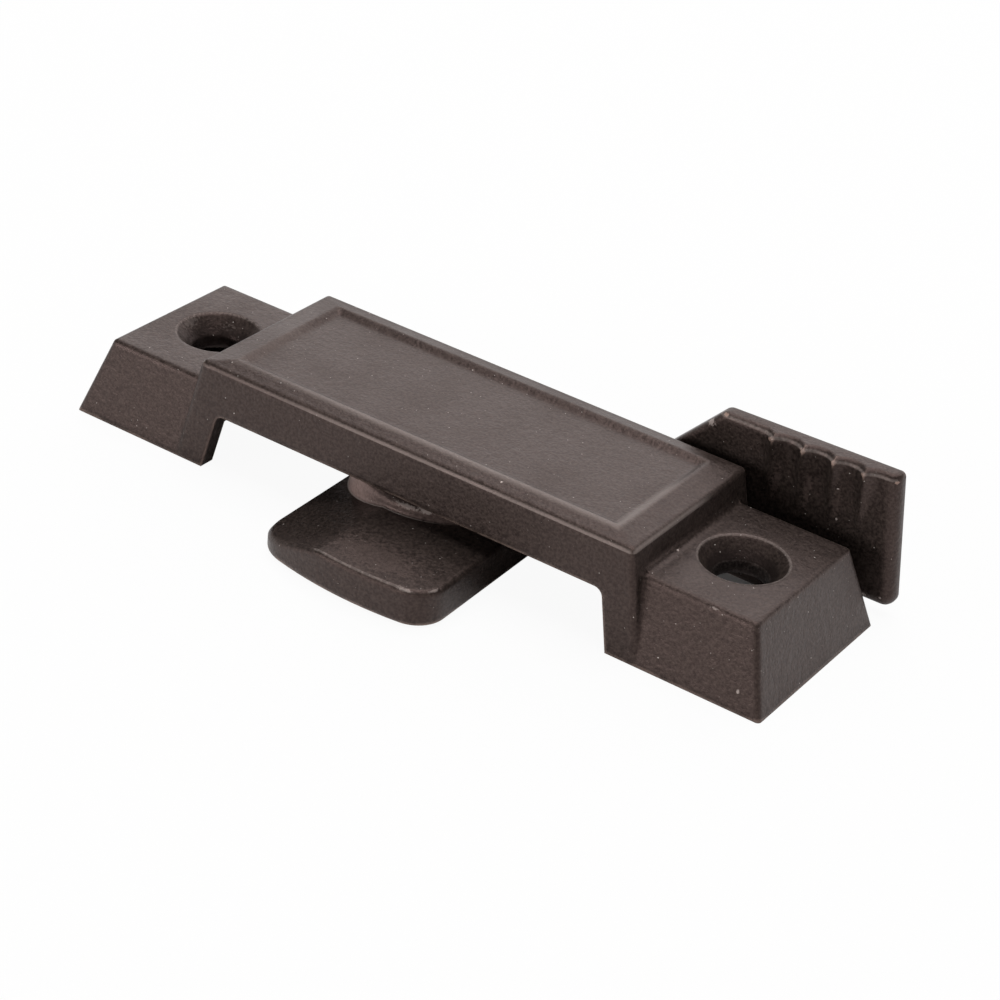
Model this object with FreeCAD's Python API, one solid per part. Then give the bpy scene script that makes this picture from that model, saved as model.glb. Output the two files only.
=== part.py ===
"""Sliding window lock: a die-cast bridge housing with a cam lever that swings under it.

Units are millimetres. X runs along the housing, Y across it and Z up. The origin is the
middle of the two screw holes, on the surface that the feet stand on. The lever is shown
locked: its tongue reaches out at the front (-Y) and its thumb tab stands behind the
right-hand foot. Turning the tab back (+Y) draws the tongue in under the bridge.
"""
import FreeCAD, Part
import math
import os

V = FreeCAD.Vector
UP = V(0, 0, 1)

# Housing outline
base_length = 82.3
base_width = 22.05
foot_height = 8.5
foot_end_slope = 18.3
foot_side_slope = 14.1
bridge_base_length = 56.0
bridge_height = 11.55
bridge_end_slope = 11.9
bridge_side_slope = 3.3
foot_edge_round = 0.45
bridge_edge_round = 0.6
bridge_root_round = 0.7

# Raised border and recessed panel on the bridge
border_rise = 0.35
border_width_end = 2.83
border_width_side = 2.15
panel_depth = 0.45
lip_land = 0.1
panel_wall_run = 0.8
panel_corner_round = 0.6
panel_floor_round = 0.5
border_inset = 0.65

# Arch between the feet
arch_span = 48.9
arch_height = 6.3
arch_side_slope = 12.9
arch_corner_round = 1.0

# Hollow underside
wall = 1.8
foot_plate = 2.2
roof = 2.0
inner_corner_round = 1.2

# Mounting holes, for a no. 8 flat-head screw at 2-1/2 inch centres
hole_spacing = 63.5
hole_radius = 2.7
countersink_radius = 4.4
countersink_angle = 82.0
hole_land = 1.3
hole_boss_wall = 2.9

# Pivot: a shoulder screw from below, with a flat washer and a dished spring washer
pivot_x = -1.6
shoulder_radius = 3.0
thread_radius = 2.0
thread_length = 3.0
screw_head_radius = 4.6
screw_head_height = 1.1
screw_head_bevel = 0.3
screw_head_recess = 0.35
screw_slot_width = 0.9
screw_slot_depth = 0.55
pivot_boss_radius = 7.2
running_fit = 0.06
seat_gap = 0.05
flat_washer_radius = 5.0
flat_washer_thickness = 0.6
spring_inner_gap = 0.5
spring_outer_radius = 5.8
spring_thickness = 0.35
spring_dish = 0.35

# Lever: hub, tongue and arm, drawn square to the housing and then turned to the locked rest
rest_turn = 1.4
lever_bottom = 0.4
hub_radius = 9.95
hub_top = 5.2
hub_draft = 2.0
hub_edge_bevel = 0.4
counterbore_gap = 0.4
tongue_left = -11.5
tongue_right = 9.9
tongue_reach = 21.05
tongue_apex_x = 2.4
tongue_nose_radius = 40.0
tongue_left_round = 5.0
tongue_right_round = 3.2
tongue_top = 4.05
tongue_edge_bevel = 0.35
ramp_start_x = -2.7
ramp_end_height = 1.35
arm_right_x = 21.5
arm_top = 4.9
arm_edge_round = 0.6

# Thumb tab at the end of the arm
tab_front = 11.4
tab_thickness = 1.9
tab_top = 15.2
tab_top_slope = 0.6
tab_bottom = 1.1
tab_right = 40.6
tab_right_slope = 7.5
tab_left = 21.6
tab_left_angle = 46.4
tab_corner_round = 1.1
tab_toe_round = 1.2
tab_end_round = 1.2
tab_front_round = 0.6
tab_back_round = 0.3

# Finger ridges on the front of the tab
ridge_first_x = 27.5
ridge_pitch = 3.3
ridge_count = 4
ridge_height_top = 0.95
ridge_height_low = 0.05
ridge_low_z = 8.0
ridge_hollow = 0.12
ridge_top_bevel = 0.45

# Places that follow from the sizes above
bridge_edge_x = bridge_base_length / 2 - bridge_height * math.tan(math.radians(bridge_end_slope))
bridge_edge_y = base_width / 2 - bridge_height * math.tan(math.radians(bridge_side_slope))
lip_x = bridge_edge_x - border_width_end
lip_y = bridge_edge_y - border_width_side
lip_z = bridge_height + border_rise
panel_floor = lip_z - panel_depth
ceiling = panel_floor - roof
cone_depth = (countersink_radius - hole_radius) / math.tan(math.radians(countersink_angle / 2))
hole_centres = [-hole_spacing / 2, hole_spacing / 2]
head_top = screw_head_recess + screw_head_height
washer_top = head_top + flat_washer_thickness
lever_seat = washer_top + seat_gap
spring_bottom = hub_top + seat_gap
spring_top = spring_bottom + spring_thickness + spring_dish
pivot_boss_face = spring_top + seat_gap
thread_top = pivot_boss_face + thread_length
tab_back = tab_front + tab_thickness
tab_root_x = tab_left - (tab_top - lever_bottom) / math.tan(math.radians(tab_left_angle))


def lean(rise, slope):
    """How far a face at this slope from upright moves inward over a rise."""
    return rise * math.tan(math.radians(slope))


def rectangle(half_x, half_y, z):
    """Corners of a rectangle about the Z axis at one height, in order."""
    return [V(-half_x, -half_y, z), V(half_x, -half_y, z), V(half_x, half_y, z), V(-half_x, half_y, z)]


def flat_face(corners):
    """Flat face inside a closed run of corners."""
    return Part.Face(Part.makePolygon(corners + corners[:1]))


def block_between(lower, upper):
    """Solid with flat sides between a lower and an upper rectangle."""
    sides = [flat_face([lower[i], lower[(i + 1) % 4], upper[(i + 1) % 4], upper[i]]) for i in range(4)]
    return Part.makeSolid(Part.makeShell([flat_face(lower[::-1]), flat_face(upper)] + sides))


def edges_at(shape, z):
    """Edges that lie wholly at one height."""
    return [e for e in shape.Edges if abs(e.BoundBox.ZMin - z) < 1e-4 and abs(e.BoundBox.ZMax - z) < 1e-4]


def drafted_block(half_x, half_y, slope_x, slope_y, height, edge_round, round_top=False):
    """Block that stands on z = 0 with leaning sides, rounded corners and, where asked, a rounded top edge."""
    upper = rectangle(half_x - lean(height, slope_x), half_y - lean(height, slope_y), height)
    block = block_between(rectangle(half_x, half_y, 0.0), upper)
    rounded = [e for e in block.Edges if e.BoundBox.ZLength > height / 2]
    if round_top:
        rounded += edges_at(block, height)
    return block.makeFillet(edge_round, rounded)


def cylinder(radius, z0, z1, x):
    """Upright cylinder between two heights, on the X axis."""
    return Part.makeCylinder(radius, z1 - z0, V(x, 0, z0), UP)


def feet_outside():
    """The two feet as one long drafted block, which the bridge stands across."""
    return drafted_block(
        base_length / 2, base_width / 2, foot_end_slope, foot_side_slope,
        foot_height, foot_edge_round, round_top=True,
    )


def bridge_root():
    """Hollow rounding where the two end walls of the bridge stand on the feet."""
    run = bridge_base_length / 2 - lean(foot_height, bridge_end_slope)
    buried = bridge_root_round
    half_width = base_width / 2 - lean(foot_height, foot_side_slope) - foot_edge_round
    wedge_top = V(run - lean(bridge_root_round, bridge_end_slope), -half_width, foot_height + bridge_root_round)
    wedge_foot = V(run + bridge_root_round, -half_width, foot_height)
    toward_wall = (wedge_top + wedge_foot) / 2 - V(1, 0, 1).normalize() * bridge_root_round * 0.29
    section = Part.Face(Part.Wire([
        Part.Arc(wedge_top, toward_wall, wedge_foot).toShape(),
        Part.makeLine(wedge_foot, wedge_foot - V(0, 0, buried)),
        Part.makeLine(wedge_foot - V(0, 0, buried), V(run - buried, -half_width, foot_height - buried)),
        Part.makeLine(V(run - buried, -half_width, foot_height - buried), wedge_top),
    ]))
    right = section.extrude(V(0, 2 * half_width, 0))
    return [right, right.mirror(V(0, 0, 0), V(1, 0, 0))]


def bridge_outside():
    """Bridge with its border rising to a lip and the panel sunk inside the lip."""
    body = drafted_block(
        bridge_base_length / 2, base_width / 2, bridge_end_slope, bridge_side_slope,
        bridge_height, bridge_edge_round, round_top=True,
    )
    border = block_between(
        rectangle(bridge_edge_x - border_inset, bridge_edge_y - border_inset, bridge_height),
        rectangle(lip_x, lip_y, lip_z),
    )
    rim_x = lip_x - lip_land
    rim_y = lip_y - lip_land
    recess = block_between(
        rectangle(rim_x - panel_wall_run, rim_y - panel_wall_run, panel_floor),
        rectangle(rim_x, rim_y, lip_z),
    )
    recess = recess.makeFillet(panel_corner_round, [e for e in recess.Edges if e.BoundBox.ZLength > panel_depth / 2])
    bridge = body.fuse(border).cut(recess)
    return bridge.makeFillet(panel_floor_round, edges_at(bridge, panel_floor))


def hollow_inside():
    """Space under the roof and under the two feet, one wall thickness inside the outer faces."""
    under_feet = drafted_block(
        base_length / 2 - wall, base_width / 2 - wall, foot_end_slope, foot_side_slope,
        foot_height - foot_plate, inner_corner_round,
    )
    under_bridge = drafted_block(
        bridge_base_length / 2 - wall, base_width / 2 - wall, bridge_end_slope, bridge_side_slope,
        ceiling, inner_corner_round,
    )
    return under_feet.fuse(under_bridge)


def arch_opening():
    """Trapezoid through the housing from front to back, between the feet, with rounded upper corners."""
    under = arch_height
    half_high = arch_span / 2 - lean(arch_height, arch_side_slope)
    half_under = arch_span / 2 + lean(under, arch_side_slope)
    corners = [
        V(-half_under, -base_width, -under),
        V(half_under, -base_width, -under),
        V(half_high, -base_width, arch_height),
        V(-half_high, -base_width, arch_height),
    ]
    opening = flat_face(corners).extrude(V(0, 2 * base_width, 0))
    upper = [e for e in opening.Edges if e.BoundBox.YLength > base_width and e.BoundBox.ZMin > arch_height / 2]
    return opening.makeFillet(arch_corner_round, upper)


def screw_hole(x):
    """Countersunk mounting hole: a cone for the screw head above a straight bore."""
    cone = Part.makeCone(hole_radius, countersink_radius, cone_depth, V(x, 0, foot_height - cone_depth), UP)
    return cylinder(hole_radius, 0.0, foot_height, x).fuse(cone)


def hole_boss(x):
    """Thick ring under the top plate of a foot, round its screw hole."""
    return cylinder(hole_radius + hole_boss_wall, foot_height - cone_depth - hole_land, foot_height - foot_plate / 2, x)


def build_housing():
    """Die-cast housing: feet, bridge, arch, hollow underside, screw bosses and pivot boss."""
    body = bridge_outside().fuse([feet_outside()] + bridge_root()).cut(hollow_inside())
    pivot_boss = cylinder(pivot_boss_radius, pivot_boss_face, ceiling + roof / 2, pivot_x)
    body = body.fuse([pivot_boss] + [hole_boss(x) for x in hole_centres])
    thread_hole = cylinder(thread_radius + running_fit, pivot_boss_face - seat_gap, thread_top + seat_gap, pivot_x)
    cuts = [arch_opening(), thread_hole] + [screw_hole(x) for x in hole_centres]
    return body.cut(cuts).removeSplitter()


def tongue():
    """Front tongue of the lever: a thick plate with a bowed nose and a lead-in ramp at its left."""
    nose = {}
    for side, x in (("left", tongue_left), ("right", tongue_right)):
        nose[side] = V(x, -tongue_reach + (x - tongue_apex_x) ** 2 / (2 * tongue_nose_radius), lever_bottom)
    inner_left = V(tongue_left, 0, lever_bottom)
    inner_right = V(tongue_right, 0, lever_bottom)
    outline = [
        Part.Arc(nose["left"], V(tongue_apex_x, -tongue_reach, lever_bottom), nose["right"]).toShape(),
        Part.makeLine(nose["right"], inner_right),
        Part.makeLine(inner_right, inner_left),
        Part.makeLine(inner_left, nose["left"]),
    ]
    thickness = tongue_top - lever_bottom
    plate = Part.Face(Part.Wire(outline)).extrude(V(0, 0, thickness))
    for x, corner_round in ((tongue_left, tongue_left_round), (tongue_right, tongue_right_round)):
        corner = [
            e for e in plate.Edges
            if e.BoundBox.ZLength > thickness / 2 and e.BoundBox.YMax < -hub_radius
            and abs(e.BoundBox.XMin - x) < 1e-3 and e.BoundBox.XLength < 1e-3
        ]
        plate = plate.makeFillet(corner_round, corner)
    fall = (tongue_top - ramp_end_height) / (ramp_start_x - tongue_left)
    overrun = thickness
    ramp = [
        V(ramp_start_x, -2 * tongue_reach, tongue_top),
        V(tongue_left - overrun, -2 * tongue_reach, ramp_end_height - overrun * fall),
        V(tongue_left - overrun, -2 * tongue_reach, tongue_top + overrun),
        V(ramp_start_x, -2 * tongue_reach, tongue_top + overrun),
    ]
    plate = plate.cut(flat_face(ramp).extrude(V(0, 4 * tongue_reach, 0)))
    rim = [
        e for e in plate.Edges
        if e.BoundBox.ZMin > (lever_bottom + ramp_end_height) / 2
        and e.BoundBox.YMin < -hub_radius
        and (e.BoundBox.XLength < 1e-3 or e.BoundBox.YMax < -hub_radius)
        and not (abs(e.BoundBox.XMin - ramp_start_x) < 1e-3 and e.BoundBox.XLength < 1e-3)
    ]
    return plate.makeChamfer(tongue_edge_bevel, rim)


def hub():
    """Round hub of the lever, slightly drafted, with a bevelled upper edge."""
    rise = hub_top - lever_bottom
    body = Part.makeCone(hub_radius, hub_radius - lean(rise, hub_draft), rise, V(pivot_x, 0, lever_bottom), UP)
    return body.makeChamfer(hub_edge_bevel, edges_at(body, hub_top))


def arm():
    """Flat arm from the hub to the foot of the thumb tab, low enough to pass under the rear of the bridge."""
    corners = [
        V(tongue_right, -hub_radius / 2, lever_bottom),
        V(tongue_right, 0, lever_bottom),
        V(arm_right_x, tab_front, lever_bottom),
        V(arm_right_x, tab_back, lever_bottom),
        V(tab_root_x, tab_back, lever_bottom),
        V(pivot_x, hub_radius - hub_edge_bevel, lever_bottom),
    ]
    plate = flat_face(corners).extrude(V(0, 0, arm_top - lever_bottom))
    long_edges = [
        e for e in edges_at(plate, arm_top)
        if e.BoundBox.XLength > 0.5 * hub_radius and e.BoundBox.YLength > 0.3 * hub_radius
        and e.BoundBox.YMin > -0.1
    ]
    return plate.makeFillet(arm_edge_round, long_edges)


def on_tab_top(x, y):
    """Point on the tab's top, which rises a little towards its right end."""
    return V(x, y, tab_top + (x - tab_left) * math.tan(math.radians(tab_top_slope)))


def tab_plate():
    """Upright plate of the thumb tab: sloping left edge, leaning right end and soft edges at the front."""
    right_run = lean(tab_top - tab_bottom, tab_right_slope)
    corners = [
        V(tab_root_x, tab_front, lever_bottom),
        V(arm_right_x, tab_front, lever_bottom),
        V(arm_right_x + tab_bottom - lever_bottom, tab_front, tab_bottom),
        V(tab_right + right_run, tab_front, tab_bottom),
        on_tab_top(tab_right, tab_front),
        V(tab_left, tab_front, tab_top),
    ]
    plate = flat_face(corners).extrude(V(0, tab_thickness, 0))
    end = [e for e in plate.Edges if e.BoundBox.YMax < tab_front + 1e-3 and e.BoundBox.XMin > tab_right - 0.1]
    plate = plate.makeFillet(tab_end_round, end)
    left_corner = [
        e for e in plate.Edges
        if e.BoundBox.YLength > tab_thickness / 2 and e.BoundBox.XMax < tab_left + 0.1
        and e.BoundBox.ZMin > tab_top - 0.01
    ]
    plate = plate.makeFillet(tab_corner_round, left_corner)
    front_top = [
        e for e in plate.Edges
        if e.BoundBox.YMax < tab_front + 1e-3 and e.BoundBox.ZMin > tab_top - 0.01
        and e.BoundBox.XLength > ridge_pitch
    ]
    plate = plate.makeFillet(tab_front_round, front_top)
    toe = [
        e for e in plate.Edges
        if e.BoundBox.XMin > tab_right + right_run / 2 and e.BoundBox.ZMax < tab_bottom + 0.01
        and e.BoundBox.XLength < 0.01
    ]
    plate = plate.makeFillet(tab_toe_round, toe)
    back_edges = [
        e for e in plate.Edges
        if e.BoundBox.YMin > tab_back - 0.01 and e.BoundBox.ZMax > tab_bottom + 0.01
        and not (e.BoundBox.ZMax < arm_top and e.BoundBox.XMax < tab_right)
    ]
    return plate.makeFillet(tab_back_round, back_edges)


def ridge_profile(height, below):
    """Cross-section of the finger ridges at one depth below the tab's top: cusps with hollow flutes."""
    half = ridge_pitch / 2
    start = ridge_first_x - half
    sag = ridge_hollow * math.hypot(half, height)
    edges = []
    for i in range(ridge_count):
        left = V(start + i * ridge_pitch, tab_front, 0)
        tip = left + V(half, -height, 0)
        right = left + V(ridge_pitch, 0, 0)
        hollow = V(height, half, 0).normalize() * sag
        falling = [left, (left + tip) / 2 + hollow, tip]
        hollow.x = -hollow.x
        rising = [tip, (tip + right) / 2 + hollow, right]
        edges += [Part.Arc(*[on_tab_top(p.x, p.y) for p in run]).toShape() for run in (falling, rising)]
    inner = tab_front + tab_thickness - tab_front_round
    buried = [(right.x, tab_front), (right.x, inner), (start, inner), (start, tab_front)]
    edges += [Part.makeLine(on_tab_top(*buried[i]), on_tab_top(*buried[i + 1])) for i in range(3)]
    return Part.Wire(edges).translated(V(0, 0, -below))


def finger_ridges():
    """Ridges on the front of the tab that stand proud at its top and fade out half way down."""
    fade = tab_top - ridge_low_z
    ridges = Part.makeLoft([ridge_profile(ridge_height_low, fade), ridge_profile(ridge_height_top, 0.0)], True, True)
    scallops = [
        e for e in ridges.Edges
        if e.BoundBox.ZMin > tab_top - 0.01 and e.BoundBox.YMin < tab_front - ridge_height_top / 2
    ]
    return ridges.makeChamfer(ridge_top_bevel, scallops)


def build_lever():
    """Cast lever in one piece: hub, tongue, arm and ridged thumb tab, bored for the shoulder screw."""
    body = hub().fuse([tongue(), arm(), tab_plate(), finger_ridges()])
    bore = cylinder(shoulder_radius + running_fit, lever_bottom, hub_top, pivot_x)
    counterbore = cylinder(flat_washer_radius + counterbore_gap, lever_bottom, lever_seat, pivot_x)
    body = body.cut([bore, counterbore]).removeSplitter()
    body.rotate(V(pivot_x, 0, 0), UP, rest_turn)
    return body


def build_pivot_screw():
    """Shoulder screw from below: slotted head, smooth shoulder for the lever and a thread in the boss."""
    head = cylinder(screw_head_radius, screw_head_recess, head_top, pivot_x)
    head = head.makeChamfer(screw_head_bevel, edges_at(head, screw_head_recess))
    shoulder = cylinder(shoulder_radius, head_top, pivot_boss_face, pivot_x)
    thread = cylinder(thread_radius, pivot_boss_face, thread_top, pivot_x)
    slot = Part.makeBox(
        2 * screw_head_radius, screw_slot_width, screw_slot_depth,
        V(pivot_x - screw_head_radius, -screw_slot_width / 2, screw_head_recess),
    )
    return head.fuse([shoulder, thread]).cut(slot).removeSplitter()


def build_flat_washer():
    """Plain washer between the screw head and the lever."""
    ring = cylinder(flat_washer_radius, head_top, washer_top, pivot_x)
    return ring.cut(cylinder(shoulder_radius + running_fit, head_top, washer_top, pivot_x))


def build_spring_washer():
    """Dished washer between the lever and the pivot boss, which keeps the lever from rattling."""
    inner = shoulder_radius + spring_inner_gap
    section = flat_face([
        V(spring_outer_radius, 0, spring_bottom),
        V(spring_outer_radius, 0, spring_bottom + spring_thickness),
        V(inner, 0, spring_top),
        V(inner, 0, spring_top - spring_thickness),
    ])
    return section.translated(V(pivot_x, 0, 0)).revolve(V(pivot_x, 0, 0), UP, 360)


parts = {
    "housing": build_housing(),
    "latch_lever": build_lever(),
    "spring_washer": build_spring_washer(),
    "flat_washer": build_flat_washer(),
    "pivot_screw": build_pivot_screw(),
}
os.makedirs("parts", exist_ok=True)
for name, shape in parts.items():
    shape.exportStep("parts/" + name + ".step")
    print(name, "valid" if shape.isValid() else "NOT VALID", round(shape.Volume, 1), len(shape.Solids))
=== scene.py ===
"""Sliding window lock: finishes, pivot screw detail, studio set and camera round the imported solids.

Everything is in metres, in the frame of the solids: X along the housing, Y across it, Z up, with
the origin midway between the two screw holes on the plane that the feet stand on.
"""

import logging
import math
from dataclasses import dataclass
from enum import Enum
from typing import Any, Mapping, Optional, Sequence, Union

import bmesh
import bpy
from mathutils import Matrix, Vector


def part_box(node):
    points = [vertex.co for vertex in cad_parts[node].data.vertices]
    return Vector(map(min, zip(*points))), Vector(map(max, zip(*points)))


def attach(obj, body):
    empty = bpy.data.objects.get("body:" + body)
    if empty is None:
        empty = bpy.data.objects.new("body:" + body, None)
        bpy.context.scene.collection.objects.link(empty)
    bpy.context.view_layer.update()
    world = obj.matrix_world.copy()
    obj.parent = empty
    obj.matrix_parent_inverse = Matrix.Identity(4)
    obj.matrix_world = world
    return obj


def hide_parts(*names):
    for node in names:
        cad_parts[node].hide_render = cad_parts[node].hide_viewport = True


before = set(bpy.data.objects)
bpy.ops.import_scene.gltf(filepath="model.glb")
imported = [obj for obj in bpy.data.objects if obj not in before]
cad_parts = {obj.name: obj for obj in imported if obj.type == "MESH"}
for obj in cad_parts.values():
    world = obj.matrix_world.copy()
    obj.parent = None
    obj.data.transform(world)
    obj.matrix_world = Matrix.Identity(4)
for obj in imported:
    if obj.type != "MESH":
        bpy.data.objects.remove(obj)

LOG = logging.getLogger("window_lock")
MM = 0.001
# Most values of a noise lie between these two.
NOISE_SPAN = (0.3, 0.7)
Colour = tuple[float, float, float]
Socket = bpy.types.NodeSocket
Value = Union[Socket, float, Sequence[float]]
Span = tuple[float, float]


class Body(Enum):
    """The two bodies that pieces ride on."""

    HOUSING = "housing"
    LEVER = "lever"


class Slot(Enum):
    """The finishes that the record names."""

    HOUSING_PAINT = "bronze_paint"
    LEVER_PAINT = "lever_paint"
    SPRING_STEEL = "spring_steel"
    PLATED_STEEL = "plated_steel"


def linear(red: int, green: int, blue: int) -> Colour:
    """Turn a colour in 0 to 255 steps into the linear values that a shader takes.

    Args:
        red: Red step.
        green: Green step.
        blue: Blue step.

    Returns:
        The three linear values.
    """
    def channel(step: int) -> float:
        """Linear value of one step."""
        part = step / 255
        return part / 12.92 if part <= 0.04045 else ((part + 0.055) / 1.055) ** 2.4

    return channel(red), channel(green), channel(blue)


class Wiring:
    """Adds nodes to one tree and joins them up."""

    def __init__(self, tree: bpy.types.NodeTree) -> None:
        """Keep the tree.

        Args:
            tree: Shader or geometry node tree to add to.
        """
        self.tree = tree

    def feed(self, socket: Socket, value: Any) -> None:
        """Join a socket to another one, or set its plain value.

        Args:
            socket: Input socket.
            value: Output socket, number, colour or vector.
        """
        if isinstance(value, bpy.types.NodeSocket):
            self.tree.links.new(value, socket)
        else:
            socket.default_value = value

    def add(
        self, kind: str, inputs: Optional[Mapping[Any, Any]] = None, **settings: Any
    ) -> bpy.types.Node:
        """Add one node.

        Args:
            kind: Blender's name of the node type.
            inputs: Values or sockets by input name or number.
            settings: Properties of the node itself.

        Returns:
            The new node.
        """
        node = self.tree.nodes.new(kind)
        for name, setting in settings.items():
            setattr(node, name, setting)
        for key, value in (inputs or {}).items():
            self.feed(node.inputs[key], value)
        return node

    def math(self, operation: str, first: Value, second: Value = 0.0) -> Socket:
        """Result of one math node."""
        return self.add("ShaderNodeMath", {0: first, 1: second}, operation=operation).outputs[0]

    def product(self, first: Value, *others: Value) -> Socket:
        """Multiply several values.

        Args:
            first: First factor.
            others: The other factors.

        Returns:
            The product.
        """
        for other in others:
            first = self.math("MULTIPLY", first, other)
        return first

    def apart(self, first: Value, second: Value) -> Socket:
        """How far two values are apart."""
        return self.math("ABSOLUTE", self.math("SUBTRACT", first, second))

    def vector(self, operation: str, first: Value, second: Value) -> Socket:
        """Result of one vector math node."""
        return self.add("ShaderNodeVectorMath", {0: first, 1: second}, operation=operation).outputs[0]

    def length(self, vector: Value) -> Socket:
        """Length of a vector."""
        return self.add("ShaderNodeVectorMath", {0: vector}, operation="LENGTH").outputs["Value"]

    def axes(self, place: Value) -> Any:
        """X, Y and Z of a place."""
        return self.add("ShaderNodeSeparateXYZ", {0: place}).outputs

    def scaled(self, colour: Value, scale: Value) -> Socket:
        """A colour made lighter or darker."""
        inputs = {0: colour, "Scale": scale}
        return self.add("ShaderNodeVectorMath", inputs, operation="SCALE").outputs[0]

    def ramp(self, value: Value, start: Value, end: Value, low: Value = 0.0, high: Value = 1.0) -> Socket:
        """Smoothly remap a value from one range to another, held at both ends.

        Args:
            value: What is remapped.
            start: Value that gives low.
            end: Value that gives high.
            low: Result at the start.
            high: Result at the end.

        Returns:
            The remapped value.
        """
        inputs = {"Value": value, "From Min": start, "From Max": end, "To Min": low, "To Max": high}
        return self.add("ShaderNodeMapRange", inputs, interpolation_type="SMOOTHSTEP").outputs["Result"]

    def swing(self, value: Value, span: Span, middle: float, reach: float) -> Socket:
        """Remap a noise over its span to a middle value, less or plus the reach."""
        return self.ramp(value, *span, middle - reach, middle + reach)

    def near(self, distance: Value, reach: Value, core: float) -> Socket:
        """1 within the core's part of a reach, and 0 past the reach."""
        return self.ramp(distance, self.math("MULTIPLY", reach, core), reach, 1.0, 0.0)

    def unbroken(self, ragged: Value, span: Span, gaps: Value) -> Socket:
        """What the gaps leave of a line, where a noise below the span opens them."""
        lost = self.math("MULTIPLY", self.ramp(ragged, *span, 1.0, 0.0), gaps)
        return self.math("SUBTRACT", 1.0, lost)

    def blend(self, factor: Value, base: Value, top: Value) -> Socket:
        """Mix two colours.

        Args:
            factor: Share of the top colour.
            base: Colour at 0.
            top: Colour at 1.

        Returns:
            The mixed colour.
        """
        node = self.add("ShaderNodeMix", data_type="RGBA")
        self.feed(node.inputs["Factor"], factor)
        for socket, value in ((node.inputs[6], base), (node.inputs[7], top)):
            self.feed(socket, (*value, 1.0) if isinstance(value, tuple) else value)
        return node.outputs[2]

    def noise(self, place: Socket, scale: Value, detail: float = 2.0, roughness: float = 0.5) -> Socket:
        """Noise value over the surface.

        Args:
            place: Coordinates.
            scale: How many cells per metre.
            detail: Octaves.
            roughness: Weight of the finer octaves.

        Returns:
            Value from about 0.2 to 0.8.
        """
        inputs = {"Vector": place, "Scale": scale, "Detail": detail, "Roughness": roughness}
        return self.add("ShaderNodeTexNoise", inputs).outputs["Fac"]


def new_material(name: str) -> tuple[bpy.types.Material, Wiring]:
    """Start a material with an empty tree.

    Args:
        name: Name of the material.

    Returns:
        The material, and what adds nodes to it.
    """
    material = bpy.data.materials.new(name)
    material.use_nodes = True
    material.node_tree.nodes.clear()
    return material, Wiring(material.node_tree)


def new_object(name: str, data: bpy.types.ID) -> bpy.types.Object:
    """Put an object into the scene.

    Args:
        name: Name of the object.
        data: Its mesh, lamp or camera.

    Returns:
        The object.
    """
    made = bpy.data.objects.new(name, data)
    bpy.context.scene.collection.objects.link(made)
    return made


class EffectGroup:
    """A shader node group with named inputs and outputs, built once and used by many finishes."""

    name = "effect"
    inputs: Mapping[str, tuple[str, Any]] = {}
    outputs: Mapping[str, str] = {}

    @classmethod
    def tree(cls) -> bpy.types.NodeTree:
        """Find the group's tree, or build it on first use.

        Returns:
            The tree.
        """
        made = bpy.data.node_groups.get(cls.name)
        if made is not None:
            return made
        made = bpy.data.node_groups.new(cls.name, "ShaderNodeTree")
        for label, (kind, default) in cls.inputs.items():
            socket = made.interface.new_socket(name=label, in_out="INPUT", socket_type=kind)
            if default is not None:
                socket.default_value = default
        for label, kind in cls.outputs.items():
            made.interface.new_socket(name=label, in_out="OUTPUT", socket_type=kind)
        wiring = Wiring(made)
        entry = wiring.add("NodeGroupInput")
        leave = wiring.add("NodeGroupOutput")
        for label, socket in cls.wire(wiring, entry.outputs).items():
            wiring.feed(leave.inputs[label], socket)
        return made

    @classmethod
    def wire(cls, wiring: Wiring, given: Any) -> Mapping[str, Socket]:
        """Build the inside of the group.

        Args:
            wiring: Adds nodes to the group.
            given: The group's input sockets by name.

        Returns:
            A socket for each output name.
        """
        raise NotImplementedError

    @classmethod
    def place(cls, wiring: Wiring, values: Mapping[str, Any]) -> Any:
        """Put the group into a material.

        Args:
            wiring: Adds nodes to the material.
            values: Values or sockets by input name.

        Returns:
            The output sockets of the placed group, by name.
        """
        node = wiring.add("ShaderNodeGroup", node_tree=cls.tree())
        for label, value in values.items():
            wiring.feed(node.inputs[label], value)
        return node.outputs


class PaintGrain(EffectGroup):
    """Fine orange-peel grain of sprayed paint, with a slow change of tone over the part."""

    name = "paint_grain"
    inputs = {
        "Vector": ("NodeSocketVector", None),
        "Grain": ("NodeSocketFloat", 0.25 * MM),
        "Mottle": ("NodeSocketFloat", 6.0 * MM),
    }
    outputs = {"Tone": "NodeSocketFloat", "Height": "NodeSocketFloat", "Cloud": "NodeSocketFloat"}
    coarse_ratio = 0.36
    fine_weight = 0.45

    @classmethod
    def wire(cls, wiring: Wiring, given: Any) -> Mapping[str, Socket]:
        """Two noises at the grain's size and one at the mottle's size.

        Args:
            wiring: Adds nodes to the group.
            given: The group's input sockets by name.

        Returns:
            A socket for each output name.
        """
        fine_scale = wiring.math("DIVIDE", 1.0, given["Grain"])
        coarse_scale = wiring.math("MULTIPLY", fine_scale, cls.coarse_ratio)
        cloud_scale = wiring.math("DIVIDE", 1.0, given["Mottle"])
        fine = wiring.noise(given["Vector"], fine_scale, roughness=0.6)
        coarse = wiring.noise(given["Vector"], coarse_scale, detail=1.0)
        cloud = wiring.noise(given["Vector"], cloud_scale)
        fine_part = wiring.math("MULTIPLY", fine, cls.fine_weight)
        coarse_part = wiring.math("MULTIPLY", coarse, 1.0 - cls.fine_weight)
        return {"Tone": fine, "Height": wiring.math("ADD", fine_part, coarse_part), "Cloud": cloud}


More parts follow.
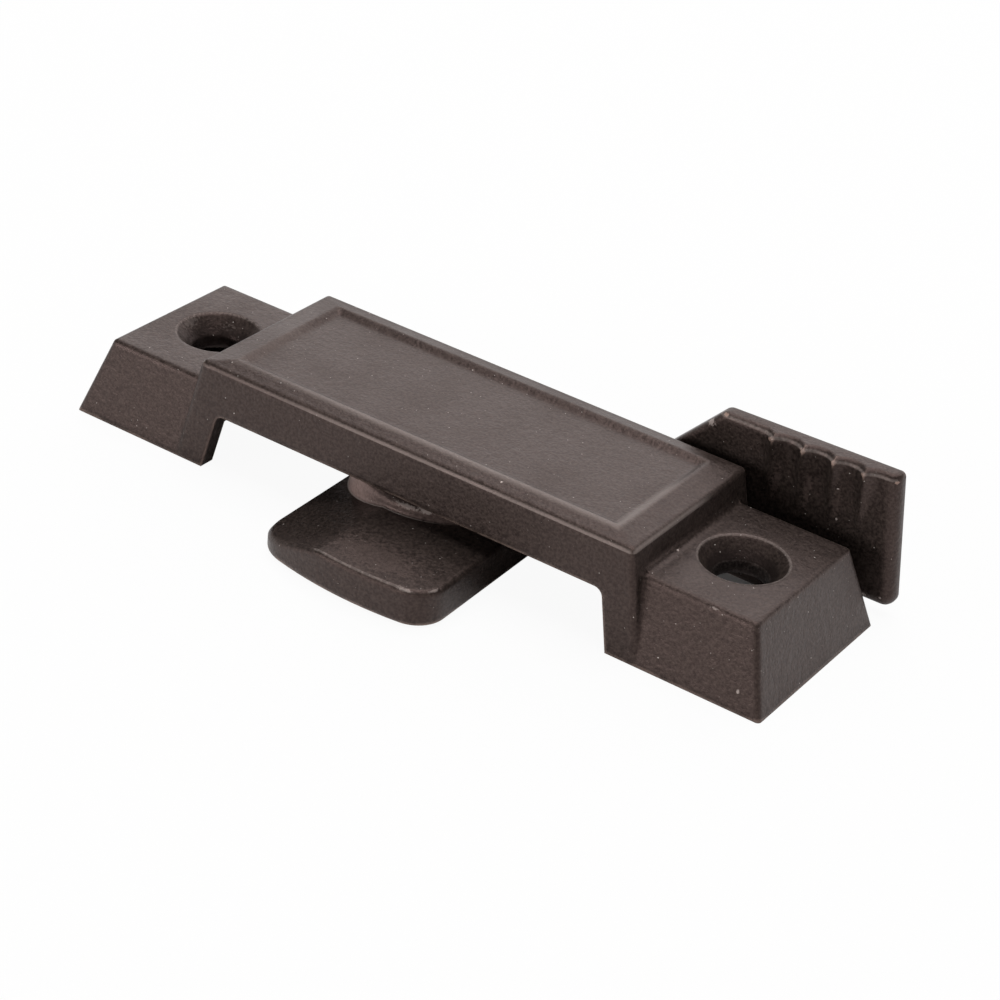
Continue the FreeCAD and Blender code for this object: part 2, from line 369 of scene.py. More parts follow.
class DustSpecks(EffectGroup):
    """Sparse tiny pale specks, each of its own size and strength."""

    name = "dust_specks"
    inputs = {
        "Vector": ("NodeSocketVector", None),
        "Spacing": ("NodeSocketFloat", 0.8 * MM),
        "Radius": ("NodeSocketFloat", 0.12),
        "Share": ("NodeSocketFloat", 0.2),
    }
    outputs = {"Mask": "NodeSocketFloat"}
    smallest = 0.45
    weakest = 0.35
    core = 0.5

    @classmethod
    def wire(cls, wiring: Wiring, given: Any) -> Mapping[str, Socket]:
        """Cells with a dot in some of them: Share picks the cells and Radius is the dot's part of a cell.

        Args:
            wiring: Adds nodes to the group.
            given: The group's input sockets by name.

        Returns:
            A socket for each output name.
        """
        scale = wiring.math("DIVIDE", 1.0, given["Spacing"])
        cells = wiring.add("ShaderNodeTexVoronoi", {"Vector": given["Vector"], "Scale": scale})
        draw = wiring.add("ShaderNodeSeparateColor", {0: cells.outputs["Color"]})
        part = wiring.ramp(draw.outputs[1], 0.0, 1.0, cls.smallest, 1.0)
        size = wiring.math("MULTIPLY", given["Radius"], part)
        dot = wiring.near(cells.outputs["Distance"], size, cls.core)
        picked = wiring.math("LESS_THAN", draw.outputs[0], given["Share"])
        strength = wiring.ramp(draw.outputs[2], 0.0, 1.0, cls.weakest, 1.0)
        return {"Mask": wiring.product(dot, picked, strength)}


class EdgeWearAndHighlight(EffectGroup):
    """Thin, lighter paint along outward edges, which also stands for a painted highlight there, broken up by
    noise.
    """

    name = "edge_wear_and_highlight"
    inputs = {
        "Vector": ("NodeSocketVector", None),
        "Width": ("NodeSocketFloat", 0.5 * MM),
        "Patch": ("NodeSocketFloat", 3.0 * MM),
        "Start": ("NodeSocketFloat", 0.12),
        "End": ("NodeSocketFloat", 0.5),
    }
    outputs = {"Mask": "NodeSocketFloat"}
    weakest = 0.55
    strongest = 1.15

    @classmethod
    def wire(cls, wiring: Wiring, given: Any) -> Mapping[str, Socket]:
        """Shade gathered inside the solid finds its outward edges, and a noise breaks them up.

        Args:
            wiring: Adds nodes to the group.
            given: The group's input sockets by name.

        Returns:
            A socket for each output name.
        """
        reach = {"Distance": given["Width"]}
        inside = wiring.add("ShaderNodeAmbientOcclusion", reach, inside=True, samples=8)
        edge = wiring.math("SUBTRACT", 1.0, inside.outputs["AO"])
        patch_scale = wiring.math("DIVIDE", 1.0, given["Patch"])
        patches = wiring.noise(given["Vector"], patch_scale, detail=3.0, roughness=0.6)
        strength = wiring.ramp(patches, *NOISE_SPAN, cls.weakest, cls.strongest)
        uneven = wiring.math("MULTIPLY", edge, strength)
        return {"Mask": wiring.ramp(uneven, given["Start"], given["End"])}


class SpotMask(EffectGroup):
    """One small spot with a ragged outline."""

    name = "spot_mask"
    inputs = {
        "Vector": ("NodeSocketVector", None),
        "Centre": ("NodeSocketVector", None),
        "Size": ("NodeSocketVector", None),
        "Ragged": ("NodeSocketFloat", 0.5),
        "Share": ("NodeSocketFloat", 1.0),
    }
    outputs = {"Mask": "NodeSocketFloat"}
    shortest = 0.6
    longest = 1.35
    core = 0.5

    @classmethod
    def wire(cls, wiring: Wiring, given: Any) -> Mapping[str, Socket]:
        """Distance from the centre in parts of the size, with a fine noise moving the outline.

        Args:
            wiring: Adds nodes to the group.
            given: The group's input sockets by name.

        Returns:
            A socket for each output name.
        """
        offset = wiring.vector("SUBTRACT", given["Vector"], given["Centre"])
        distance = wiring.length(wiring.vector("DIVIDE", offset, given["Size"]))
        reach = wiring.ramp(given["Ragged"], *NOISE_SPAN, cls.shortest, cls.longest)
        inside = wiring.ramp(wiring.math("DIVIDE", distance, reach), cls.core, 1.0, 1.0, 0.0)
        return {"Mask": wiring.math("MULTIPLY", inside, given["Share"])}


class RingMask(EffectGroup):
    """A band at one radius round an upright axis, broken up by noise."""

    name = "ring_mask"
    inputs = {
        "Vector": ("NodeSocketVector", None),
        "Centre": ("NodeSocketVector", None),
        "Radius": ("NodeSocketFloat", 3.0 * MM),
        "Width": ("NodeSocketFloat", 0.3 * MM),
        "Ragged": ("NodeSocketFloat", 0.5),
        "Gaps": ("NodeSocketFloat", 0.0),
        "Fade": ("NodeSocketFloat", 0.0),
        "Fade Start": ("NodeSocketFloat", 0.0),
        "Fade End": ("NodeSocketFloat", 1.0),
        "Level": ("NodeSocketFloat", 0.0),
        "Reach": ("NodeSocketFloat", 1.0),
        "Share": ("NodeSocketFloat", 1.0),
    }
    outputs = {"Mask": "NodeSocketFloat"}
    line_core = 0.4
    level_core = 0.5
    gap_span = (0.45, 0.6)

    @classmethod
    def wire(cls, wiring: Wiring, given: Any) -> Mapping[str, Socket]:
        """Distance from the circle in plan, faded to the right and the rear and away from one level.

        Args:
            wiring: Adds nodes to the group.
            given: The group's input sockets by name.

        Returns:
            A socket for each output name.
        """
        offset = wiring.vector("SUBTRACT", given["Vector"], given["Centre"])
        from_axis = wiring.length(wiring.vector("MULTIPLY", offset, (1.0, 1.0, 0.0)))
        line = wiring.near(wiring.apart(from_axis, given["Radius"]), given["Width"], cls.line_core)
        kept = wiring.unbroken(given["Ragged"], cls.gap_span, given["Gaps"])
        axes = wiring.axes(offset)
        away = wiring.math("DIVIDE", wiring.math("MAXIMUM", axes[0], axes[1]), given["Radius"])
        fading = wiring.ramp(away, given["Fade Start"], given["Fade End"])
        shown = wiring.math("SUBTRACT", 1.0, wiring.math("MULTIPLY", fading, given["Fade"]))
        at_level = wiring.near(wiring.apart(axes[2], given["Level"]), given["Reach"], cls.level_core)
        return {"Mask": wiring.product(line, kept, shown, at_level, given["Share"])}


class OutlineMask(EffectGroup):
    """A line along a rectangle round the origin, above one height, fading out to the back and the left."""

    name = "outline_mask"
    inputs = {
        "Vector": ("NodeSocketVector", None),
        "Half Length": ("NodeSocketFloat", 20.0 * MM),
        "Half Width": ("NodeSocketFloat", 8.0 * MM),
        "Height": ("NodeSocketFloat", 11.0 * MM),
        "Width": ("NodeSocketFloat", 0.5 * MM),
        "Share": ("NodeSocketFloat", 1.0),
    }
    outputs = {"Mask": "NodeSocketFloat"}
    back_fade = (0.0, 5.0 * MM)
    left_fade = (-22.0 * MM, -6.0 * MM)
    left_share = 0.35

    @classmethod
    def wire(cls, wiring: Wiring, given: Any) -> Mapping[str, Socket]:
        """Distance from the nearer side of the rectangle.

        Args:
            wiring: Adds nodes to the group.
            given: The group's input sockets by name.

        Returns:
            A socket for each output name.
        """
        axes = wiring.axes(given["Vector"])
        past_end = wiring.math("SUBTRACT", wiring.math("ABSOLUTE", axes[0]), given["Half Length"])
        past_side = wiring.math("SUBTRACT", wiring.math("ABSOLUTE", axes[1]), given["Half Width"])
        off_line = wiring.math("ABSOLUTE", wiring.math("MAXIMUM", past_end, past_side))
        line = wiring.ramp(off_line, 0.0, given["Width"], 1.0, 0.0)
        above = wiring.math("GREATER_THAN", axes[2], given["Height"])
        to_back = wiring.ramp(axes[1], *cls.back_fade, 1.0, 0.0)
        to_left = wiring.ramp(axes[0], *cls.left_fade, cls.left_share, 1.0)
        return {"Mask": wiring.product(line, above, to_back, to_left, given["Share"])}


class BandMask(EffectGroup):
    """A level band round a part in front of one depth, broken up by noise."""

    name = "band_mask"
    inputs = {
        "Vector": ("NodeSocketVector", None),
        "Height": ("NodeSocketFloat", 14.5 * MM),
        "Width": ("NodeSocketFloat", 0.4 * MM),
        "Back": ("NodeSocketFloat", 13.0 * MM),
        "Ragged": ("NodeSocketFloat", 0.5),
        "Gaps": ("NodeSocketFloat", 0.0),
        "Share": ("NodeSocketFloat", 1.0),
    }
    outputs = {"Mask": "NodeSocketFloat"}
    core = 0.2
    gap_span = (0.42, 0.62)

    @classmethod
    def wire(cls, wiring: Wiring, given: Any) -> Mapping[str, Socket]:
        """Distance from the height, full over the inner part of the width.

        Args:
            wiring: Adds nodes to the group.
            given: The group's input sockets by name.

        Returns:
            A socket for each output name.
        """
        axes = wiring.axes(given["Vector"])
        line = wiring.near(wiring.apart(axes[2], given["Height"]), given["Width"], cls.core)
        in_front = wiring.math("LESS_THAN", axes[1], given["Back"])
        kept = wiring.unbroken(given["Ragged"], cls.gap_span, given["Gaps"])
        return {"Mask": wiring.product(line, in_front, kept, given["Share"])}


class Tint(Enum):
    """Colours of marks in the paint, and of painted highlights, painted light and painted shade."""

    COPPER = linear(194, 164, 150)
    PALE = linear(184, 172, 166)
    ROSE = linear(150, 128, 122)
    DARK = linear(20, 17, 16)


def millimetres(values: Sequence[float]) -> tuple[float, ...]:
    """Turn millimetres into metres."""
    return tuple(value * MM for value in values)


class Mark:
    """A mark in the paint, a painted highlight, painted light or painted shade, which one of the groups
    masks; its sizes are in millimetres.
    """

    group = EffectGroup
    tint: Tint
    share: float

    def sizes(self) -> Mapping[str, Any]:
        """The group's own inputs, in metres."""
        raise NotImplementedError

    def mask(self, wiring: Wiring, place: Socket, ragged: Socket) -> Socket:
        """Mask of the mark.

        Args:
            wiring: Adds nodes to the material.
            place: Coordinates.
            ragged: Fine noise that breaks up the mark, where its group takes one.

        Returns:
            A value from 0 to the mark's share.
        """
        values = {"Vector": place, "Share": self.share, **self.sizes()}
        if "Ragged" in self.group.inputs:
            values["Ragged"] = ragged
        return self.group.place(wiring, values)["Mask"]


@dataclass(frozen=True)
class Spot(Mark):
    """A small mark at a named place."""

    place: tuple[float, float, float]
    size: tuple[float, float, float]
    tint: Tint
    share: float = 1.0
    group = SpotMask

    def sizes(self) -> Mapping[str, Any]:
        """Centre and size."""
        return {"Centre": millimetres(self.place), "Size": millimetres(self.size)}


@dataclass(frozen=True)
class Ring(Mark):
    """A line round an upright axis at x and y."""

    x: float
    y: float
    radius: float
    width: float
    tint: Tint
    share: float = 1.0
    gaps: float = 0.0
    fade: float = 0.0
    fade_span: Span = (0.0, 1.0)
    level: float = 0.0
    reach: float = 100.0
    group = RingMask

    def sizes(self) -> Mapping[str, Any]:
        """The circle, how it fades and the level that it lies at."""
        return {
            "Centre": millimetres((self.x, self.y, 0.0)), "Radius": self.radius * MM,
            "Width": self.width * MM, "Gaps": self.gaps,
            "Fade": self.fade, "Fade Start": self.fade_span[0], "Fade End": self.fade_span[1],
            "Level": self.level * MM, "Reach": self.reach * MM,
        }


@dataclass(frozen=True)
class Lip(Mark):
    """A line along the lip of the sunk panel or the rim of the bridge."""

    half_length: float
    half_width: float
    height: float
    width: float
    tint: Tint
    share: float = 1.0
    group = OutlineMask

    def sizes(self) -> Mapping[str, Any]:
        """The rectangle, the height that it starts at and the line's width."""
        return {
            "Half Length": self.half_length * MM, "Half Width": self.half_width * MM,
            "Height": self.height * MM, "Width": self.width * MM,
        }


@dataclass(frozen=True)
class Band(Mark):
    """A level line on the front of a part."""

    height: float
    width: float
    back: float
    tint: Tint
    share: float = 1.0
    gaps: float = 0.0
    group = BandMask

    def sizes(self) -> Mapping[str, Any]:
        """The line's height and width, the depth that it ends at and its gaps."""
        return {
            "Height": self.height * MM, "Width": self.width * MM,
            "Back": self.back * MM, "Gaps": self.gaps,
        }


@dataclass(frozen=True)
class WearAndHighlightZones:
    """How much the edges are lightened, as rubbed paint and as painted highlight, low and high on a part."""

    low_top: float
    low_share: float
    high_start: float
    high_share: float
    fade: float = 0.8 * MM

    def share(self, wiring: Wiring, height: Socket) -> Socket:
        """Share of the rubbed-paint and painted-highlight edge colour at a height.

        Args:
            wiring: Adds nodes to the material.
            height: Height over the mounting plane.

        Returns:
            A value from 0 to the larger share.
        """
        low = wiring.ramp(height, self.low_top, self.low_top + self.fade, self.low_share, 0.0)
        high = wiring.ramp(height, self.high_start, self.high_start + self.fade, 0.0, self.high_share)
        return wiring.math("ADD", low, high)


@dataclass(frozen=True)
class PaintFinish:
    """Sprayed paint on a casting: dark bronze with fine grain, edges lightened as rubbed paint and as
    painted highlight, marks, painted highlights and painted shade, and specks of dust.
    """

    name: str
    zones: WearAndHighlightZones
    marks: tuple[Mark, ...] = ()
    colour: Colour = linear(41, 35, 32)
    # Colour of rubbed edges, which also serves as their painted highlight.
    rubbed_and_highlight_colour: Colour = linear(160, 138, 128)
    dust_colour: Colour = linear(206, 198, 192)
    roughness: float = 0.4
    roughness_swing: float = 0.05
    gloss: float = 0.5
    gloss_tint: Colour = (1.0, 0.7, 0.64)
    grain: float = 0.3 * MM
    grain_depth: float = 0.085 * MM
    mottle: float = 7.0 * MM
    tone_span: Span = (0.25, 0.75)
    tone_swing: float = 0.8
    cloud_swing: float = 0.05
    soft_edge: float = 0.35 * MM
    edge_width: float = 0.45 * MM
    dust_spacing: float = 0.62 * MM
    dust_share: float = 0.4

    def material(self) -> bpy.types.Material:
        """Build the material.

        Returns:
            A material with a Principled BSDF fed by the shared groups.
        """
        material, wiring = new_material(self.name)
        place = wiring.add("ShaderNodeTexCoord").outputs["Object"]
        grain = PaintGrain.place(wiring, {"Vector": place, "Grain": self.grain, "Mottle": self.mottle})
        wear_and_highlight_mask = EdgeWearAndHighlight.place(wiring, {"Vector": place, "Width": self.edge_width})["Mask"]
        dust = DustSpecks.place(
            wiring, {"Vector": place, "Spacing": self.dust_spacing, "Share": self.dust_share}
        )["Mask"]
        tone = wiring.swing(grain["Tone"], self.tone_span, 1.0, self.tone_swing)
        cloud = wiring.swing(grain["Cloud"], NOISE_SPAN, 1.0, self.cloud_swing)
        toned = wiring.scaled(self.colour, wiring.math("MULTIPLY", tone, cloud))
        # Edges lightened by the rubbed-paint and painted-highlight colour, in the zones' shares.
        wear_and_highlight_share = wiring.math("MULTIPLY", wear_and_highlight_mask, self.zones.share(wiring, wiring.axes(place)[2]))
        colour = wiring.blend(wear_and_highlight_share, toned, self.rubbed_and_highlight_colour)
        # Marks laid on one after another, among them painted highlights, painted light and painted shade.
        for mark in self.marks:
            colour = wiring.blend(mark.mask(wiring, place, grain["Tone"]), colour, mark.tint.value)
        colour = wiring.blend(dust, colour, self.dust_colour)
        rough = wiring.swing(grain["Cloud"], NOISE_SPAN, self.roughness, self.roughness_swing)
        soft = wiring.add("ShaderNodeBevel", {"Radius": self.soft_edge}, samples=8)
        bump = wiring.add("ShaderNodeBump", {
            "Strength": 1.0, "Distance": self.grain_depth,
            "Height": grain["Height"], "Normal": soft.outputs["Normal"],
        })
        shader = wiring.add("ShaderNodeBsdfPrincipled", {
            "Base Color": colour, "Roughness": rough, "Normal": bump.outputs["Normal"],
            "Specular IOR Level": self.gloss, "Specular Tint": (*self.gloss_tint, 1.0),
        })
        wiring.add("ShaderNodeOutputMaterial", {"Surface": shader.outputs[0]})
        return material


@dataclass(frozen=True)
class SteelFinish:
    """Bare or plated steel of a turned or stamped piece."""

    name: str
    colour: Colour = linear(196, 194, 188)
    roughness: float = 0.3
    streak: float = 0.12 * MM
    mottle: float = 2.5 * MM
    tone_range: Span = (0.86, 1.04)
    roughness_range: Span = (0.8, 1.25)
    mark_strength: float = 0.6
    mark_depth: float = 0.004 * MM

    def material(self) -> bpy.types.Material:
        """Build the material.

        Returns:
            A metal with fine marks in its roughness and height.
        """
        material, wiring = new_material(self.name)
        place = wiring.add("ShaderNodeTexCoord").outputs["Object"]
        grain = PaintGrain.place(wiring, {"Vector": place, "Grain": self.streak, "Mottle": self.mottle})
        colour = wiring.scaled(self.colour, wiring.ramp(grain["Cloud"], *NOISE_SPAN, *self.tone_range))
        smoothest, roughest = (self.roughness * part for part in self.roughness_range)
        rough = wiring.ramp(grain["Tone"], *NOISE_SPAN, smoothest, roughest)
        bump = wiring.add("ShaderNodeBump", {
            "Strength": self.mark_strength, "Distance": self.mark_depth, "Height": grain["Height"],
        })
        shader = wiring.add("ShaderNodeBsdfPrincipled", {
            "Base Color": colour, "Metallic": 1.0, "Roughness": rough, "Normal": bump.outputs["Normal"],
        })
        wiring.add("ShaderNodeOutputMaterial", {"Surface": shader.outputs[0]})
        return material


def dress(node: str, body: Body, slot: Slot, material: bpy.types.Material) -> None:
    """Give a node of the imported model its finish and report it.

    Args:
        node: Name of the node.
        body: Body that the record lets it ride on.
        slot: Finish that the record names for it.
        material: Look of that finish, which takes the place of its plain one.
    """
    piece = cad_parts[node]
    for place in piece.material_slots:
        place.material = material
    LOG.info(
        "%s on body %s: %d triangles, finish %s as %s",
        node, body.value, len(piece.data.polygons), slot.value, material.name,
    )


@dataclass
class Housing:
    """The painted bridge casting."""

    finish: PaintFinish = PaintFinish(
        "housing_bronze_paint",
        # Edges lightened, as rubbed paint and as painted highlight, somewhat on the feet and fully on the
        # bridge top.
        zones=WearAndHighlightZones(low_top=9.4 * MM, low_share=0.45, high_start=9.6 * MM, high_share=1.0),
        soft_edge=0.75 * MM,
        marks=(
            # Painted highlights: a broad pale line along the lip of the sunk panel and a thin one along the
            # rim of the bridge.
            Lip(22.3, 8.15, 11.0, 0.9, Tint.PALE, 0.26),
            Lip(25.6, 10.4, 11.0, 0.22, Tint.PALE, 0.28),
            # Right screw hole: painted highlight round the countersink's rim, painted shade filling the
            # bore, and a faint painted glint at the bore's edge.
            Ring(31.75, 0.0, 4.4, 0.16, Tint.PALE, 0.2, 0.3),
            Ring(31.75, 0.0, 2.9, 0.75, Tint.DARK, 0.85),
            Ring(31.75, 0.0, 2.7, 0.12, Tint.PALE, 0.12, 0.7),
            # Left screw hole: pale line round the countersink's rim, and painted shade filling the bore.
            Ring(-31.75, 0.0, 4.4, 0.16, Tint.PALE, 0.15, 0.6),
            Ring(-31.75, 0.0, 2.9, 0.7, Tint.DARK, 0.7),
            Spot((-35.9, 0.3, 8.0), (0.8, 1.4, 0.7), Tint.PALE, 0.12),
            Spot((-32.6, 2.8, 7.7), (1.2, 0.8, 0.6), Tint.PALE, 0.12),
            Spot((-33.3, 3.1, 8.0), (0.4, 0.3, 0.3), Tint.COPPER, 0.4),
            Spot((23.2, -1.6, 11.8), (0.4, 0.7, 0.5), Tint.DARK, 0.8),
            Spot((10.04, -9.04, 11.7), (0.16, 0.16, 0.25), Tint.PALE),
            Spot((26.43, -3.22, 8.64), (0.16, 0.2, 0.2), Tint.PALE),
            Spot((38.3, -10.5, 2.0), (0.25, 0.3, 0.2), Tint.PALE, 0.7),
            Spot((33.8, -9.0, 8.3), (0.5, 0.3, 0.15), Tint.PALE, 0.4),
        ),
    )

    def build(self) -> None:
        """Dress the casting."""
        dress("housing", Body.HOUSING, Slot.HOUSING_PAINT, self.finish.material())


@dataclass
class CamLever:
    """The painted cam lever with its thumb tab."""

    finish: PaintFinish = PaintFinish(
        "lever_bronze_paint",
        # Edges lightened, as rubbed paint and as painted highlight, low on the tongue and hub and along the
        # tab's top.
        zones=WearAndHighlightZones(low_top=5.8 * MM, low_share=0.8, high_start=14.1 * MM, high_share=1.0),
        soft_edge=0.7 * MM,
        marks=(
            # Painted highlight along the top front edge of the thumb tab.
            Band(14.9, 0.22, 12.9, Tint.PALE, 0.26, 0.3),
            # Painted light on the hub: its wall and top rim lightened as if lit, and a painted highlight
            # along its foot.
            Ring(-1.6, 0.0, 9.8, 0.3, Tint.ROSE, 0.95, 0.2, fade=0.85, fade_span=(-0.6, 0.0)),
            Ring(-1.6, 0.0, 9.3, 0.35, Tint.ROSE, 0.5, 0.2, fade=0.85, fade_span=(-0.6, 0.2)),
            Ring(-1.6, 0.0, 10.03, 0.12, Tint.PALE, 0.5, fade=1.0, fade_span=(0.1, 0.6)),
            # Painted highlight along the top rim of the tongue's nose.
            Ring(
                1.94, 19.04, 39.68, 0.14, Tint.PALE, 0.28, 0.4,
                fade=1.0, fade_span=(0.14, 0.18), level=4.05, reach=0.3,
            ),
            # Painted pool of light on the tongue's top.
            Spot((2.5, -17.6, 4.0), (6.5, 3.0, 0.5), Tint.ROSE, 0.07),
            Spot((1.86, -9.19, 4.15), (0.3, 0.3, 0.3), Tint.DARK, 0.9),
            # Painted glints on the hub's foot.
            Spot((-0.1, -9.5, 4.95), (1.6, 0.4, 0.3), Tint.PALE, 0.38),
            Spot((1.9, -9.0, 4.95), (1.3, 0.5, 0.3), Tint.PALE, 0.48),
            # Painted highlights at the corner of the tongue's nose.
            Spot((7.68, -20.31, 3.95), (1.1, 0.4, 0.15), Tint.PALE, 0.35),
            Spot((9.89, -18.61, 3.95), (0.4, 0.9, 0.15), Tint.PALE, 0.35),
            Spot((20.2, 12.1, 13.7), (0.6, 0.4, 0.45), Tint.PALE, 0.55),
            Spot((34.5, 12.2, 12.0), (0.15, 0.4, 0.15), Tint.PALE, 0.8),
            Spot((34.9, 12.3, 8.7), (0.15, 0.4, 0.15), Tint.PALE, 0.8),
            Spot((40.8, 12.45, 2.2), (0.15, 0.4, 0.15), Tint.PALE, 0.8),
            Spot((39.1, 12.5, 1.9), (0.3, 0.4, 0.2), Tint.PALE, 0.7),
            Spot((21.6, 12.1, 15.0), (0.3, 0.4, 0.2), Tint.COPPER, 0.5),
            Spot((40.1, 12.8, 14.7), (0.3, 0.4, 0.2), Tint.COPPER, 0.5),
            Spot((26.9, 11.6, 14.6), (0.4, 0.4, 0.3), Tint.COPPER, 0.45),
            Spot((30.3, 11.5, 14.7), (0.4, 0.4, 0.3), Tint.COPPER, 0.45),
            Spot((33.7, 11.5, 14.8), (0.4, 0.4, 0.3), Tint.COPPER, 0.45),
            Spot((36.9, 11.7, 14.7), (0.4, 0.4, 0.3), Tint.COPPER, 0.45),
            # Faint painted light streaks down the flutes of the thumb tab.
            Spot((28.0, 12.1, 10.1), (0.5, 1.0, 2.2), Tint.ROSE, 0.07),
            Spot((31.4, 12.2, 10.6), (0.5, 1.0, 2.2), Tint.ROSE, 0.07),
            Spot((34.6, 12.3, 10.7), (0.5, 1.0, 2.2), Tint.ROSE, 0.07),
        ),
    )

    def build(self) -> None:
        """Dress the casting."""
        dress("latch_lever", Body.LEVER, Slot.LEVER_PAINT, self.finish.material())


@dataclass(frozen=True)
class ThreadRule:
    """Geometry Nodes rule of a screw thread: a ridge that winds round an upright core."""

    pitch: float = 0.7 * MM
    depth: float = 0.35 * MM
    steps_per_turn: int = 40
    section_corners: int = 4

    def tree(self) -> bpy.types.NodeTree:
        """Build the rule's node tree.

        Returns:
            A tree with the inputs Base, Core Radius, Length, Pitch, Depth and Material.
        """
        tree = bpy.data.node_groups.new("screw_thread_rule", "GeometryNodeTree")
        face = tree.interface
        face.new_socket(name="Geometry", in_out="INPUT", socket_type="NodeSocketGeometry")
        for label, kind in (
            ("Base", "NodeSocketVector"), ("Core Radius", "NodeSocketFloat"),
            ("Length", "NodeSocketFloat"), ("Pitch", "NodeSocketFloat"),
            ("Depth", "NodeSocketFloat"), ("Material", "NodeSocketMaterial"),
        ):
            face.new_socket(name=label, in_out="INPUT", socket_type=kind)
        face.new_socket(name="Geometry", in_out="OUTPUT", socket_type="NodeSocketGeometry")
        wiring = Wiring(tree)
        given = wiring.add("NodeGroupInput").outputs
        ends = wiring.math("MULTIPLY", given["Depth"], 2.0)
        climb = wiring.math("SUBTRACT", given["Length"], ends)
        path = wiring.add("GeometryNodeCurveSpiral", {
            "Resolution": self.steps_per_turn,
            "Rotations": wiring.math("DIVIDE", climb, given["Pitch"]), "Height": climb,
            "Start Radius": given["Core Radius"], "End Radius": given["Core Radius"],
        }).outputs[0]
        upright = wiring.add("GeometryNodeSetCurveNormal", {0: path}, mode="Z_UP").outputs[0]
        section = wiring.add("GeometryNodeCurvePrimitiveCircle", {
            "Resolution": self.section_corners, "Radius": given["Depth"],
        }).outputs[0]
        ridge = wiring.add("GeometryNodeCurveToMesh", {
            "Curve": upright, "Profile Curve": section, "Fill Caps": True,
        }).outputs[0]
        lift = wiring.add("ShaderNodeCombineXYZ", {2: given["Depth"]}).outputs[0]
        start = wiring.vector("ADD", given["Base"], lift)
        placed = wiring.add("GeometryNodeTransform", {"Geometry": ridge, "Translation": start})
        real = wiring.add("GeometryNodeRealizeInstances", {0: placed.outputs[0]}).outputs[0]
        coated = wiring.add("GeometryNodeSetMaterial", {"Geometry": real, "Material": given["Material"]})
        wiring.add("NodeGroupOutput", {0: coated.outputs[0]})
        return tree

    def grow(
        self, base: Vector, core_radius: float, length: float, finish: bpy.types.Material
    ) -> bpy.types.Mesh:
        """Grow the ridge as a plain mesh.

        Args:
            base: Foot of the thread's axis.
            core_radius: Radius that the ridge winds round.
            length: Length of the thread.
            finish: Material of the ridge.

        Returns:
            The mesh of the ridge.
        """
        tree = self.tree()
        carrier = new_object("thread_carrier", bpy.data.meshes.new("thread_carrier"))
        rule = carrier.modifiers.new("thread", "NODES")
        rule.node_group = tree
        values = {
            "Base": tuple(base), "Core Radius": core_radius, "Length": length,
            "Pitch": self.pitch, "Depth": self.depth, "Material": finish,
        }
        for item in tree.interface.items_tree:
            if item.in_out == "INPUT" and item.name in values:
                rule[item.identifier] = values[item.name]
        shape = carrier.evaluated_get(bpy.context.evaluated_depsgraph_get())
        grown = bpy.data.meshes.new_from_object(shape)
        bpy.data.objects.remove(carrier)
        return grown


@dataclass
class PivotStack:
    """Shoulder screw, flat washer and dished washer under the bridge."""

    plated: SteelFinish = SteelFinish("zinc_plated_steel")
    spring: SteelFinish = SteelFinish("spring_steel_strip", linear(150, 146, 140), 0.24)
    rule: ThreadRule = ThreadRule()
    axis_x: float = -1.6 * MM
    thread_radius: float = 2.0 * MM
    thread_length: float = 3.0 * MM
    smooth_angle: float = math.radians(35)
    weld_distance: float = 0.001 * MM
    step_slack: float = 0.01 * MM
    rim_slack: float = 1.02

    def threaded_screw(self, finish: bpy.types.Material) -> bpy.types.Object:
        """Give a copy of the plain screw a wound thread in place of its smooth end.

        Args:
            finish: Material of the screw.

        Returns:
            The screw that takes the plain one's place.
        """
        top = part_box("pivot_screw")[1][2]
        base = Vector((self.axis_x, 0.0, top - self.thread_length))
        core_radius = self.thread_radius - self.rule.depth
        work = bmesh.new()
        work.from_mesh(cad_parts["pivot_screw"].data)
        bmesh.ops.remove_doubles(work, verts=work.verts, dist=self.weld_distance)
        for corner in work.verts:
            out = Vector((corner.co.x - base.x, corner.co.y))
            above_step = corner.co.z > base.z - self.step_slack
            if above_step and out.length < self.rim_slack * self.thread_radius:
                corner.co.x = base.x + out.x * core_radius / self.thread_radius
                corner.co.y = out.y * core_radius / self.thread_radius
        work.from_mesh(self.rule.grow(base, core_radius, self.thread_length, finish))
        mesh = bpy.data.meshes.new("pivot_screw_threaded")
        work.to_mesh(mesh)
        work.free()
        mesh.materials.append(finish)
        for polygon in mesh.polygons:
            polygon.use_smooth = True
            polygon.material_index = 0
        mesh.set_sharp_from_angle(angle=self.smooth_angle)
        piece = new_object("pivot_screw_threaded", mesh)
        LOG.info("%s: %d triangles", piece.name, sum(len(face.vertices) - 2 for face in mesh.polygons))
        return piece

    def build(self) -> None:
        """Dress the washers and put the threaded screw in the plain one's place."""
        plated = self.plated.material()
        dress("pivot_screw", Body.HOUSING, Slot.PLATED_STEEL, plated)
        dress("flat_washer", Body.HOUSING, Slot.PLATED_STEEL, plated)
        dress("spring_washer", Body.HOUSING, Slot.SPRING_STEEL, self.spring.material())
        screw = self.threaded_screw(plated)
        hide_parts("pivot_screw")
        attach(screw, Body.HOUSING.value)


@dataclass(frozen=True)
class Softbox:
    """One soft lamp of the set, aimed at the lock."""

    name: str
    place: tuple[float, float, float]
    width: float
    height: float
    power: float
    colour: Colour = (1.0, 1.0, 1.0)

    def build(self, target: Vector) -> None:
        """Hang the lamp.

        Args:
            target: Point that it faces.
        """
        lamp = bpy.data.lights.new(self.name, "AREA")
        lamp.shape = "RECTANGLE"
        lamp.size = self.width
        lamp.size_y = self.height
        lamp.energy = self.power
        lamp.color = self.colour
        holder = new_object(self.name, lamp)
        holder.location = self.place
        holder.rotation_mode = "QUATERNION"
        holder.rotation_quaternion = (target - Vector(self.place)).to_track_quat("-Z", "Y")
        LOG.info("lamp %s: %.2f W", self.name, self.power)


